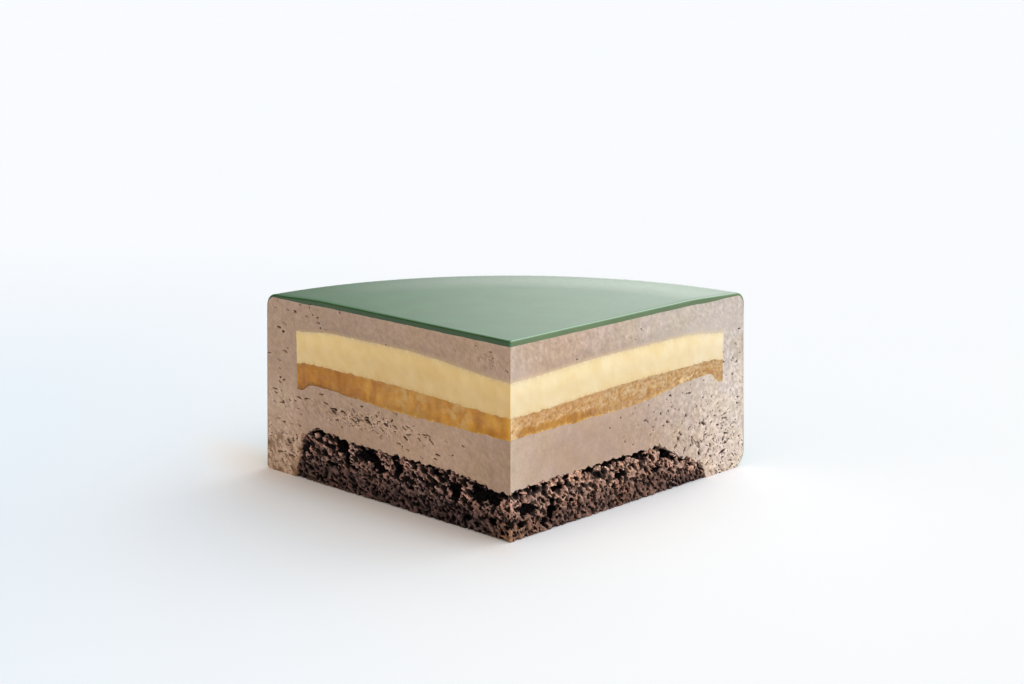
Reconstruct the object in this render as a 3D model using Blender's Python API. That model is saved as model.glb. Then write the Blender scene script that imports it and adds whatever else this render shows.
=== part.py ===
"""A quarter of a round mousse cake, cut so that its layers show.

The tip, which was the middle of the whole cake, points to -Y. The two cut faces meet there at a right
angle, and the glazed wall is at the back. Z is up, and the origin is at the middle of the base. All sizes
are in metres.

Each layer is a flat grid of columns (outwards from the tip) and rows (upwards), swept through the
quarter turn with Spin, and then moved to its true form by a rule of its own. turn is 0 on the right
cut face and 1 on the left one.
"""

import math

import bmesh
import bpy
from mathutils import Matrix, Vector, noise

# The whole cake
CAKE_RADIUS = 0.0800  # of the wall, at the top
CAKE_HEIGHT = 0.0441
WALL_FLARE = 0.0018  # how much wider the wall is at the floor
SECTOR = math.radians(90)
SHOULDER_RADIUS = 0.0030  # between the top and the wall
SHOULDER_DROP = 0.0008  # how far the top sinks towards the shoulder
SHOULDER_WIDTH = 0.0220  # over this much of the radius
FOOT_RADIUS = (0.0040, 0.0012)  # between the wall and the floor, on the right and on the left

# Glaze
GLAZE_TOP = 0.00130
GLAZE_THINNING = (0.0003, 0.0006)  # how much thinner it gets towards the shoulder, right and left
GLAZE_WALL = 0.00055
GLAZE_END = 0.00035  # its thin lower edge
GLAZE_END_HEIGHT = 0.00055  # above the floor

# Insert: a disc of cream on a disc of compote, (right, left) on the cut faces
INSERT_RADIUS = (0.0724, 0.0695)
CREAM_TOP = 0.0351  # at the tip
CREAM_SWELL = (0.0009, 0.0019)  # how much higher it is further out
CREAM_EDGE_DROP = (0.0013, 0.0013)
COMPOTE_TOP = 0.0273
COMPOTE_SWELL = 0.0012
COMPOTE_EDGE_DROP = 0.0006
COMPOTE_BOTTOM = (0.0227, 0.0224)
COMPOTE_ARCH = (0.0025, 0.0011)  # its underside rises towards the rim
COMPOTE_LIP = (0.0026, 0.0019)  # and hangs down again at the very edge

# Sponge
SPONGE_RADIUS = (0.0673, 0.0709)  # at the floor
SPONGE_DRAFT = 0.0027  # how much smaller it is at its top
SPONGE_HEIGHT = 0.0113  # at the tip
SPONGE_SWELL = 0.0008
SPONGE_HUMP = (-0.0050, 0.0010)  # low at the right end, high at the left end
SPONGE_HUMP_START = (0.0490, 0.0500)
SPONGE_EDGE_DROP = 0.0022
SPONGE_CRAG = 0.0007  # height of the crags along its top
CRAG_SIZE = 0.0024
CRUMB_DEPTH = 0.0011  # depth of the holes in its cut faces
CRUMB_SIZE = 0.0021

# How the parts meet, and how finely they are divided
GAP = 0.0003
CUT_UNEVEN = 0.00025  # how far the other cut faces sink in places
TURN_STEPS = 12
GLAZE_TURN_STEPS = 20
LAYER_COLUMNS = 40
OUTER_COLUMNS = 5
SPONGE_ROWS = 9
CREAM_COLUMNS = 16

MATERIALS = {
    # name: (colour, roughness)
    "glaze": ((0.16, 0.30, 0.19, 1.0), 0.12),
    "mousse": ((0.44, 0.33, 0.27, 1.0), 0.65),
    "cream": ((0.80, 0.66, 0.36, 1.0), 0.50),
    "compote": ((0.56, 0.27, 0.06, 1.0), 0.30),
    "sponge": ((0.045, 0.024, 0.018, 1.0), 0.90),
}


def smooth_ramp(value, start, end):
    """0 before start, 1 after end, and a smooth rise between them."""
    share = min(1.0, max(0.0, (value - start) / (end - start)))
    return share * share * (3 - 2 * share)


def by_turn(pair, turn):
    """A size that is pair[0] on the right cut face and pair[1] on the left one."""
    return pair[0] + (pair[1] - pair[0]) * turn


# Outer form of the cake


def wall_radius(z):
    return CAKE_RADIUS + WALL_FLARE * (1 - z / CAKE_HEIGHT)


def top_height(radius):
    return CAKE_HEIGHT - SHOULDER_DROP * smooth_ramp(radius, CAKE_RADIUS - SHOULDER_WIDTH, CAKE_RADIUS)


def shoulder_centre():
    z = top_height(CAKE_RADIUS) - SHOULDER_RADIUS
    return wall_radius(z) - SHOULDER_RADIUS, z


def on_shoulder(angle, depth):
    """A point that lies depth under the shoulder, at an angle above the horizontal."""
    radius, z = shoulder_centre()
    reach = SHOULDER_RADIUS - depth
    return radius + reach * math.cos(angle), z + reach * math.sin(angle)


def on_foot(angle, depth, turn):
    """A point that lies depth inside the foot's rounding, at an angle below the horizontal."""
    rounding = by_turn(FOOT_RADIUS, turn)
    reach = rounding - depth
    return (
        wall_radius(rounding) - rounding + reach * math.cos(angle),
        rounding - reach * math.sin(angle),
    )


def glaze_depth(radius, turn):
    """The glaze's thickness on top."""
    shoulder = shoulder_centre()[0]
    return GLAZE_TOP - by_turn(GLAZE_THINNING, turn) * smooth_ramp(radius, 0.84 * shoulder, shoulder)


def glaze_end_angle(turn):
    rounding = by_turn(FOOT_RADIUS, turn)
    return math.asin((rounding - GLAZE_END_HEIGHT) / rounding)


# Surfaces between the layers, as heights above the floor


def insert_radius(turn):
    return by_turn(INSERT_RADIUS, turn)


def cream_top(radius, turn):
    edge = insert_radius(turn)
    return (
        CREAM_TOP
        + by_turn(CREAM_SWELL, turn) * smooth_ramp(radius, 0, 0.45 * edge)
        - by_turn(CREAM_EDGE_DROP, turn) * smooth_ramp(radius, 0.80 * edge, edge)
    )


def compote_top(radius, turn):
    edge = insert_radius(turn)
    return (
        COMPOTE_TOP
        + COMPOTE_SWELL * smooth_ramp(radius, 0, 0.60 * edge)
        - COMPOTE_EDGE_DROP * smooth_ramp(radius, 0.94 * edge, edge)
    )


def compote_bottom(radius, turn):
    edge = insert_radius(turn)
    return (
        by_turn(COMPOTE_BOTTOM, turn)
        + by_turn(COMPOTE_ARCH, turn) * smooth_ramp(radius, 0.50 * edge, 0.90 * edge)
        - by_turn(COMPOTE_LIP, turn) * smooth_ramp(radius, 0.93 * edge, 0.985 * edge)
    )


def sponge_radius(share, turn):
    """The sponge's reach at a share of its height."""
    return by_turn(SPONGE_RADIUS, turn) - SPONGE_DRAFT * share


def sponge_top(radius, turn):
    start = by_turn(SPONGE_HUMP_START, turn)
    edge = sponge_radius(1, turn)
    crag = noise.fractal(Vector((radius, 0.5 * radius + CAKE_RADIUS * turn, 0)) / CRAG_SIZE, 0.7, 2.0, 2)
    return (
        SPONGE_HEIGHT
        + SPONGE_SWELL * smooth_ramp(radius, 0, 0.016)
        + by_turn(SPONGE_HUMP, turn) * smooth_ramp(radius, start, start + 0.010)
        - SPONGE_EDGE_DROP * smooth_ramp(radius, 0.92 * edge, edge)
        + SPONGE_CRAG * crag
    )


# Relief of the cut faces, as depths


def crumb_relief(radius, z, turn):
    spot = Vector((radius, z, CAKE_RADIUS * turn)) / CRUMB_SIZE
    return CRUMB_DEPTH * min(1.0, max(0.0, 0.35 + 0.9 * noise.fractal(spot, 0.8, 2.0, 3)))


def knife_relief(radius, z, turn):
    spot = Vector((radius, z, CAKE_RADIUS * turn)) / (4 * CRUMB_SIZE)
    return CUT_UNEVEN * min(1.0, max(0.0, 0.4 + noise.noise(spot)))


# Making the solids


def swept_layer(name, columns, rows, place, turn_steps=TURN_STEPS, holds=None, relief=None):
    """A grid of columns by rows, swept through the sector about the tip.

    place(column, row, turn) gives each point's radius and height. holds(column, row) says which cells
    of the grid are material, and relief(radius, z, turn) is how deep the cut faces sink inside their rims.
    """
    form = bmesh.new()
    upright = Matrix(((1, 0, 0, 0.5), (0, 0, -1, 0), (0, 1, 0, 0.5), (0, 0, 0, 1)))
    bmesh.ops.create_grid(form, x_segments=columns, y_segments=rows, size=0.5, matrix=upright)
    if holds:
        empty = []
        for cell in form.faces:
            middle = cell.calc_center_median()
            if not holds(middle.x * columns, middle.z * rows):
                empty.append(cell)
        bmesh.ops.delete(form, geom=empty, context="FACES")
    inside = {
        (round(vertex.co.x * columns), round(vertex.co.z * rows))
        for vertex in form.verts
        if not vertex.is_boundary
    }
    bmesh.ops.spin(
        form,
        geom=form.verts[:] + form.edges[:] + form.faces[:],
        cent=(0, 0, 0),
        axis=(0, 0, 1),
        angle=SECTOR,
        steps=turn_steps,
    )
    bmesh.ops.remove_doubles(form, verts=form.verts[:], dist=1e-6)
    bmesh.ops.recalc_face_normals(form, faces=form.faces[:])

    right_face_angle = math.radians(90) - SECTOR / 2
    for vertex in form.verts:
        column = round(math.hypot(vertex.co.x, vertex.co.y) * columns)
        row = round(vertex.co.z * rows)
        turn = math.atan2(vertex.co.y, vertex.co.x) / SECTOR if column else 0.5
        radius, z = place(column, row, turn)
        angle = right_face_angle + SECTOR * turn
        spot = Vector((radius * math.cos(angle), radius * math.sin(angle), z))
        if relief and (column, row) in inside:
            inwards = Vector((-math.sin(angle), math.cos(angle), 0)) * (1 if turn < 0.5 else -1)
            spot += inwards * relief(radius, z, turn)
        vertex.co = spot
    bmesh.ops.triangulate(form, faces=form.faces[:], quad_method="SHORT_EDGE")

    mesh = bpy.data.meshes.new(name)
    form.to_mesh(mesh)
    form.free()
    mesh.shade_smooth()
    mesh.set_sharp_from_angle(angle=math.radians(40))
    layer = bpy.data.objects.new(name, mesh)
    bpy.data.collections["mousse_cake"].objects.link(layer)
    layer.parent = bpy.data.objects["tip"]
    layer.data.materials.append(bpy.data.materials[name])


def between(low, high, share):
    return low + (high - low) * share


def make_sponge():
    """The chocolate sponge disc at the bottom, with a ragged top and crumbly cut faces."""

    def place(column, row, turn):
        share = row / SPONGE_ROWS
        radius = sponge_radius(share, turn) * column / LAYER_COLUMNS
        top = sponge_top(sponge_radius(1, turn) * column / LAYER_COLUMNS, turn)
        return radius, top * share

    swept_layer("sponge", LAYER_COLUMNS, SPONGE_ROWS, place, relief=crumb_relief)


def make_compote():
    """The fruit compote under the cream. Its underside arches up towards the rim and ends in a lip."""
    rows = 3

    def place(column, row, turn):
        radius = insert_radius(turn) * column / LAYER_COLUMNS
        return radius, between(compote_bottom(radius, turn), compote_top(radius, turn), row / rows)

    swept_layer("compote", LAYER_COLUMNS, rows, place, relief=knife_relief)


def make_cream():
    """The smooth yellow cream on the compote."""
    rows = 3

    def place(column, row, turn):
        radius = insert_radius(turn) * column / CREAM_COLUMNS
        return radius, between(compote_top(radius, turn) + GAP, cream_top(radius, turn), row / rows)

    swept_layer("cream", CREAM_COLUMNS, rows, place, relief=knife_relief)


def make_mousse():
    """The mousse that fills the cake: over and under the insert, and round it and the sponge."""
    foot_row = 3
    sponge_row = foot_row + 2
    insert_low_row = sponge_row + 4
    insert_high_row = insert_low_row + 3
    shoulder_row = insert_high_row + 2
    rows = shoulder_row + 3
    wall_depth = GLAZE_WALL + GAP

    def holds(column, row):
        at_insert = column < LAYER_COLUMNS and insert_low_row < row < insert_high_row
        at_sponge = column < LAYER_COLUMNS and row < sponge_row
        return not (at_insert or at_sponge)

    def under_glaze(row, turn):
        """The outermost point of a row, from the floor round the foot, up the wall and over the shoulder."""
        if row == 0:
            return on_foot(math.radians(90), 0, turn)
        if row <= foot_row:
            down = (foot_row - row) / (foot_row - 1)
            depth = between(wall_depth, GLAZE_END + GAP, down)
            return on_foot(glaze_end_angle(turn) * down, depth, turn)
        if row < shoulder_row:
            share = (row - foot_row) / (shoulder_row - foot_row)
            z = between(by_turn(FOOT_RADIUS, turn), shoulder_centre()[1], share)
            return wall_radius(z) - wall_depth, z
        up = (row - shoulder_row) / (rows - shoulder_row)
        top_depth = glaze_depth(shoulder_centre()[0], turn) + GAP
        return on_shoulder(math.radians(90) * up, between(wall_depth, top_depth, up))

    def by_layers(share, row, turn):
        """A point inside the rim, at a share of the layers' reach. Its row follows the layers' surfaces."""
        on_sponge = sponge_radius(min(1.0, row / sponge_row), turn) * share
        on_insert = insert_radius(turn) * share
        radius = between(on_sponge, on_insert, smooth_ramp(row, sponge_row, insert_low_row))
        sponge = sponge_top(sponge_radius(1, turn) * share, turn) + GAP
        low = compote_bottom(on_insert, turn) - GAP
        high = cream_top(on_insert, turn) + GAP
        if row <= sponge_row:
            return radius, sponge * row / sponge_row
        if row <= insert_low_row:
            return radius, between(sponge, low, (row - sponge_row) / (insert_low_row - sponge_row))
        if row <= insert_high_row:
            return radius, between(low, high, (row - insert_low_row) / (insert_high_row - insert_low_row))
        top = top_height(radius) - glaze_depth(radius, turn) - GAP
        return radius, between(high, top, (row - insert_high_row) / (rows - insert_high_row))

    def place(column, row, turn):
        radius, z = by_layers(min(1.0, column / LAYER_COLUMNS), row, turn)
        if column < LAYER_COLUMNS:
            return radius, z
        rim_radius, rim_z = under_glaze(row, turn)
        share = (column - LAYER_COLUMNS) / OUTER_COLUMNS
        return between(radius + GAP, rim_radius, share), between(z, rim_z, share)

    swept_layer(
        "mousse", LAYER_COLUMNS + OUTER_COLUMNS, rows, place, holds=holds, relief=knife_relief
    )


def make_glaze():
    """The green glaze: a slab on top that thins over the shoulder and runs down the wall."""
    top_columns = 12
    shoulder_columns = 5
    wall_columns = 4
    foot_columns = 4
    columns = top_columns + shoulder_columns + wall_columns + foot_columns

    def place(column, row, turn):
        depth_share = 1 - row
        on_top = column - top_columns
        on_wall = on_top - shoulder_columns
        at_foot = on_wall - wall_columns
        if on_top <= 0:
            radius = shoulder_centre()[0] * column / top_columns
            return radius, top_height(radius) - glaze_depth(radius, turn) * depth_share
        if on_wall <= 0:
            down = on_top / shoulder_columns
            depth = between(glaze_depth(shoulder_centre()[0], turn), GLAZE_WALL, down)
            return on_shoulder(math.radians(90) * (1 - down), depth * depth_share)
        if at_foot <= 0:
            down = on_wall / wall_columns
            z = between(shoulder_centre()[1], by_turn(FOOT_RADIUS, turn), down)
            return wall_radius(z) - GLAZE_WALL * depth_share, z
        down = at_foot / foot_columns
        depth = between(GLAZE_WALL, GLAZE_END, down)
        return on_foot(glaze_end_angle(turn) * down, depth * depth_share, turn)

    swept_layer("glaze", columns, 1, place, turn_steps=GLAZE_TURN_STEPS)


def clear_scene():
    for thing in list(bpy.data.objects):
        bpy.data.objects.remove(thing)


def make_materials():
    for name, (colour, roughness) in MATERIALS.items():
        material = bpy.data.materials.new(name)
        material.use_nodes = True
        shader = material.node_tree.nodes["Principled BSDF"]
        shader.inputs["Base Color"].default_value = colour
        shader.inputs["Roughness"].default_value = roughness
        shader.inputs["Metallic"].default_value = 0.0
        material.diffuse_color = colour


def make_tip():
    """The collection of the cake's layers, and the tip that they are placed by."""
    cake = bpy.data.collections.new("mousse_cake")
    bpy.context.scene.collection.children.link(cake)
    tip = bpy.data.objects.new("tip", None)
    cake.objects.link(tip)
    greatest_radius = wall_radius(by_turn(FOOT_RADIUS, 0.5))
    tip.location.y = -greatest_radius / 2


def main():
    clear_scene()
    make_materials()
    make_tip()
    make_sponge()
    make_compote()
    make_cream()
    make_mousse()
    make_glaze()


main()
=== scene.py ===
import math

import bmesh
import bpy
import numpy as np
import openvdb
from mathutils import Matrix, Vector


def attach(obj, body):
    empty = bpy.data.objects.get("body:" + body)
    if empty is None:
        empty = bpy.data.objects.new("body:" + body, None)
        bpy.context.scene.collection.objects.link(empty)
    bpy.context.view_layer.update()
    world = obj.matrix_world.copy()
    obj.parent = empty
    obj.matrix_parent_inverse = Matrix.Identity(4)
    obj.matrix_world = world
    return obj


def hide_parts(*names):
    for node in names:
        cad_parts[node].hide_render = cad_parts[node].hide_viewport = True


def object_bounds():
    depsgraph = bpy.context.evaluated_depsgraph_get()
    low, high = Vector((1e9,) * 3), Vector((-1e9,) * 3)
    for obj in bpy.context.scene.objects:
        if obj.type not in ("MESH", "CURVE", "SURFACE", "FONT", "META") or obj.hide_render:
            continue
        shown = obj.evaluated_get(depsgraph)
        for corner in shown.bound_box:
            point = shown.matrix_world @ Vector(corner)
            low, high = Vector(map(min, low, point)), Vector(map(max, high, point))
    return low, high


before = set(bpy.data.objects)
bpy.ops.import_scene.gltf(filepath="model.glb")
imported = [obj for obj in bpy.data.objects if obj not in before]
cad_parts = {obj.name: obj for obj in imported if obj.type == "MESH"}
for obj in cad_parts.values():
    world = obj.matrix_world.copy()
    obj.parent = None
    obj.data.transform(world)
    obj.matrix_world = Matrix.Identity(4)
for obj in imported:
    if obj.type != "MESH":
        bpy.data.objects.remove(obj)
cadLow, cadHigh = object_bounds()
mm = 0.001

# The whole cake. Pairs are (right, left) cut face, radii and heights count from the tip's foot.
cake = {
    "tip": cadLow.y,
    "height": cadHigh.z,
    "sector": math.radians(90),
    "flare": 1.8 * mm,  # how much wider the wall is at the floor
    "shoulderRadius": 3.0 * mm,
    "shoulderDrop": 0.8 * mm,
    "shoulderWidth": 22 * mm,
    "footRadius": (4.0 * mm, 1.2 * mm),
    "turnSteps": 16,
}
meanFoot = sum(cake["footRadius"]) / 2
cake["radius"] = cadHigh.y - cadLow.y - cake["flare"] * (1 - meanFoot / cake["height"])
rightFaceAngle = math.radians(90) - cake["sector"] / 2


# Numbers that vary over the cake


def between(low, high, share):
    return low + (high - low) * share


def byTurn(pair, turn):
    return pair[0] + (pair[1] - pair[0]) * turn  # turn is 0 on the right cut face, 1 on the left


def rise(value, start, end):
    # 0 up to start, 1 from end on and soft between
    share = np.clip((value - start) / (end - start), 0, 1)
    return share * share * (3 - 2 * share)


def fall(value, start, end):
    return rise(-value, -end, -start)


def bulge(value, middle, width, power=2):
    # 1 in the middle, fading out on either side
    return np.exp(-(((value - middle) / width) ** power))


noiseTables = {}


def tablesOf(seed):
    if seed not in noiseTables:
        draw = np.random.default_rng(seed)
        slopes = draw.normal(size=(256, 3)).astype(np.float32)
        slopes /= np.linalg.norm(slopes, axis=1, keepdims=True)
        noiseTables[seed] = draw.permutation(256).astype(np.int32), slopes
    return noiseTables[seed]


def latticeCorners(order, cell):
    for x in (0, 1):
        for y in (0, 1):
            for z in (0, 1):
                first = order[(cell[0] + x) & 255]
                second = order[(first + cell[1] + y) & 255]
                yield (x, y, z), order[(second + cell[2] + z) & 255]


def waves(spot, size, seed=1, octaves=1):
    # soft noise from about -1 to 1, with features about size across
    order, slopes = tablesOf(seed)
    total, weight = 0.0, 1.0
    for octave in range(octaves):
        scaled = [axis.astype(np.float32) * (2**octave / size) + 31.7 * octave for axis in spot]
        cell = [np.floor(axis).astype(np.int32) for axis in scaled]
        part = [axis - low for axis, low in zip(scaled, cell)]
        fade = [p * p * p * (p * (p * 6 - 15) + 10) for p in part]
        for corner, pick in latticeCorners(order, cell):
            slope = slopes[pick]
            value = sum(slope[..., i] * (part[i] - corner[i]) for i in range(3))
            for i in range(3):
                value = value * (fade[i] if corner[i] else 1 - fade[i])
            total = total + weight * value
        weight *= 0.5
    return 1.6 * total


def grains(spot, size, seed=1):
    # distance to the nearest of the points scattered one to a cell, in cells
    order, slopes = tablesOf(seed)
    scaled = [axis.astype(np.float32) / size - 0.5 for axis in spot]
    cell = [np.floor(axis).astype(np.int32) for axis in scaled]
    nearest = np.full(scaled[0].shape, 9.0, np.float32)
    for corner, pick in latticeCorners(order, cell):
        away = 0.0
        for i in range(3):
            away = away + (scaled[i] - cell[i] - corner[i] + 0.42 * slopes[pick][..., i]) ** 2
        nearest = np.minimum(nearest, away)
    return np.sqrt(nearest)


# Outer form


def wallRadius(z):
    return cake["radius"] + cake["flare"] * (1 - z / cake["height"])


def topHeight(radius):
    drop = rise(radius, cake["radius"] - cake["shoulderWidth"], cake["radius"])
    return cake["height"] - cake["shoulderDrop"] * drop


shoulderZ = cake["height"] - cake["shoulderDrop"] - cake["shoulderRadius"]
shoulderReach = wallRadius(shoulderZ) - cake["shoulderRadius"]


def onShoulder(angle, depth):
    reach = cake["shoulderRadius"] - depth
    return shoulderReach + reach * np.cos(angle), shoulderZ + reach * np.sin(angle)


def onFoot(angle, depth, turn):
    rounding = byTurn(cake["footRadius"], turn)
    reach = rounding - depth
    return wallRadius(rounding) - rounding + reach * np.cos(angle), rounding - reach * np.sin(angle)


def atTurn(radius, turn):
    angle = rightFaceAngle + cake["sector"] * turn
    return radius * np.cos(angle), radius * np.sin(angle)


def ripples(depth, length, radius, turn, seed, octaves=1):
    # soft unevenness that is the same at every height
    x, y = atTurn(radius, turn)
    return depth * waves((x, y, 0 * x), length, seed=seed, octaves=octaves)


# Making a swept piece


def cellsFromRim(columns, rows, holds, farthest=6):
    # for each corner of the grid, how many cells it is from the edge of the material
    c, r = np.meshgrid(np.arange(columns) + 0.5, np.arange(rows) + 0.5, indexing="ij")
    full = np.zeros((columns + 2, rows + 2), bool)
    full[1:-1, 1:-1] = holds(c, r) if holds else True
    inside = full[:-1, :-1] & full[1:, :-1] & full[:-1, 1:] & full[1:, 1:]
    distance = inside.astype(int)
    for _ in range(farthest - 1):
        padded = np.pad(inside, 1)
        inside = inside & padded[:-2, 1:-1] & padded[2:, 1:-1] & padded[1:-1, :-2] & padded[1:-1, 2:]
        distance += inside
    return distance


def sweptPiece(name, columns, rows, place, turnSteps=cake["turnSteps"], holds=None, relief=None, bend=None):
    # a grid of columns (outwards) by rows (upwards), swept through the sector and moved into place
    form = bmesh.new()
    upright = Matrix(((1, 0, 0, 0.5), (0, 0, -1, 0), (0, 1, 0, 0.5), (0, 0, 0, 1)))
    bmesh.ops.create_grid(form, x_segments=columns, y_segments=rows, size=0.5, matrix=upright)
    if holds:
        empty = []
        for cell in form.faces:
            middle = cell.calc_center_median()
            if not holds(middle.x * columns, middle.z * rows):
                empty.append(cell)
        bmesh.ops.delete(form, geom=empty, context="FACES")
    everything = form.verts[:] + form.edges[:] + form.faces[:]
    sweep = {"cent": (0, 0, 0), "axis": (0, 0, 1), "angle": cake["sector"], "steps": turnSteps}
    bmesh.ops.spin(form, geom=everything, **sweep)
    bmesh.ops.remove_doubles(form, verts=form.verts[:], dist=1e-6)
    bmesh.ops.recalc_face_normals(form, faces=form.faces[:])
    mesh = bpy.data.meshes.new(name)
    form.to_mesh(mesh)
    form.free()

    spots = np.empty(len(mesh.vertices) * 3, np.float32)
    mesh.vertices.foreach_get("co", spots)
    spots = spots.reshape(-1, 3).astype(float)
    column = np.rint(np.hypot(spots[:, 0], spots[:, 1]) * columns)
    row = np.rint(spots[:, 2] * rows)
    step = np.rint(np.arctan2(spots[:, 1], spots[:, 0]) / cake["sector"] * turnSteps)
    step = np.where(column == 0, turnSteps / 2, step)
    turn = step / turnSteps
    if bend:
        turn = bend(column, step)
    radius, z = place(column, row, turn)
    x, y = atTurn(radius, turn)
    marks = {}
    if relief:
        rim = cellsFromRim(columns, rows, holds)[column.astype(int), row.astype(int)]
        depth, marks = relief(radius, z, turn, rim, row / rows)
        onFace = (step == 0) | (step == turnSteps)
        depth = np.where(onFace & (rim > 0) & (column > 0), depth, 0)
        angle = rightFaceAngle + cake["sector"] * turn
        side = np.where(turn < 0.5, 1, -1)
        x = x - np.sin(angle) * side * depth
        y = y + np.cos(angle) * side * depth
    mesh.vertices.foreach_set("co", np.stack([x, y + cake["tip"], z], axis=1).astype(np.float32).ravel())
    return finishPiece(name, mesh, marks)


def finishPiece(name, mesh, marks, smoothBelow=62):
    for mark, values in marks.items():
        attribute = mesh.attributes.new(mark, "FLOAT", "POINT")
        attribute.data.foreach_set("value", np.asarray(values, np.float32))
    mesh.update()
    mesh.shade_smooth()
    mesh.set_sharp_from_angle(angle=math.radians(smoothBelow))
    piece = bpy.data.objects.new(name, mesh)
    bpy.context.scene.collection.objects.link(piece)
    mesh.calc_loop_triangles()
    print(name, len(mesh.vertices), "points,", len(mesh.loop_triangles), "triangles")
    return piece


# Layers' surfaces: heights over the floor, shared by the pieces that meet there. Waves are a depth and a
# length. Spans are the shares of the way out to the rim between which something sets in.

insert = {
    "radius": (72.4 * mm, 69.5 * mm),
    "rimWaves": (0.10 * mm, 2.5 * mm),
    "columns": 320,
    "creamTop": 35.1 * mm,
    "creamSwell": (0.9 * mm, 1.9 * mm),
    "creamSwellSpan": (0, 0.45),
    "creamEdgeDrop": 1.3 * mm,
    "creamEdgeSpan": (0.80, 1),
    "creamWaves": (0.13 * mm, 4 * mm),
    "compoteTop": 27.3 * mm,
    "compoteSwell": 1.2 * mm,
    "compoteSwellSpan": (0, 0.60),
    "compoteEdgeDrop": 0.6 * mm,
    "compoteEdgeSpan": (0.94, 1),
    "compoteTopWaves": (0.24 * mm, 2.6 * mm),
    "compoteBottom": (22.7 * mm, 22.4 * mm),
    "compoteArch": (2.5 * mm, 1.1 * mm),
    "compoteArchSpan": (0.50, 0.90),
    "compoteLip": (2.6 * mm, 1.9 * mm),
    "compoteLipSpan": (0.93, 0.985),
    "compoteBottomWaves": (0.22 * mm, 3.2 * mm),
}


def insertReach(z, turn):
    x, y = atTurn(insert["radius"][0], turn)
    depth, length = insert["rimWaves"]
    return byTurn(insert["radius"], turn) + depth * waves((x, y, z), length, seed=21, octaves=2)


def insertWaves(name, share, turn, seed):
    return ripples(*insert[name], byTurn(insert["radius"], turn) * share, turn, seed, octaves=3)


def creamTop(share, turn):
    return (
        insert["creamTop"]
        + byTurn(insert["creamSwell"], turn) * rise(share, *insert["creamSwellSpan"])
        - insert["creamEdgeDrop"] * rise(share, *insert["creamEdgeSpan"])
        + insertWaves("creamWaves", share, turn, seed=22)
    )


def compoteTop(share, turn):
    return (
        insert["compoteTop"]
        + insert["compoteSwell"] * rise(share, *insert["compoteSwellSpan"])
        - insert["compoteEdgeDrop"] * rise(share, *insert["compoteEdgeSpan"])
        + insertWaves("compoteTopWaves", share, turn, seed=23)
    )


def compoteBottom(share, turn):
    return (
        byTurn(insert["compoteBottom"], turn)
        + byTurn(insert["compoteArch"], turn) * rise(share, *insert["compoteArchSpan"])
        - byTurn(insert["compoteLip"], turn) * rise(share, *insert["compoteLipSpan"])
        + insertWaves("compoteBottomWaves", share, turn, seed=24)
    )


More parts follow.
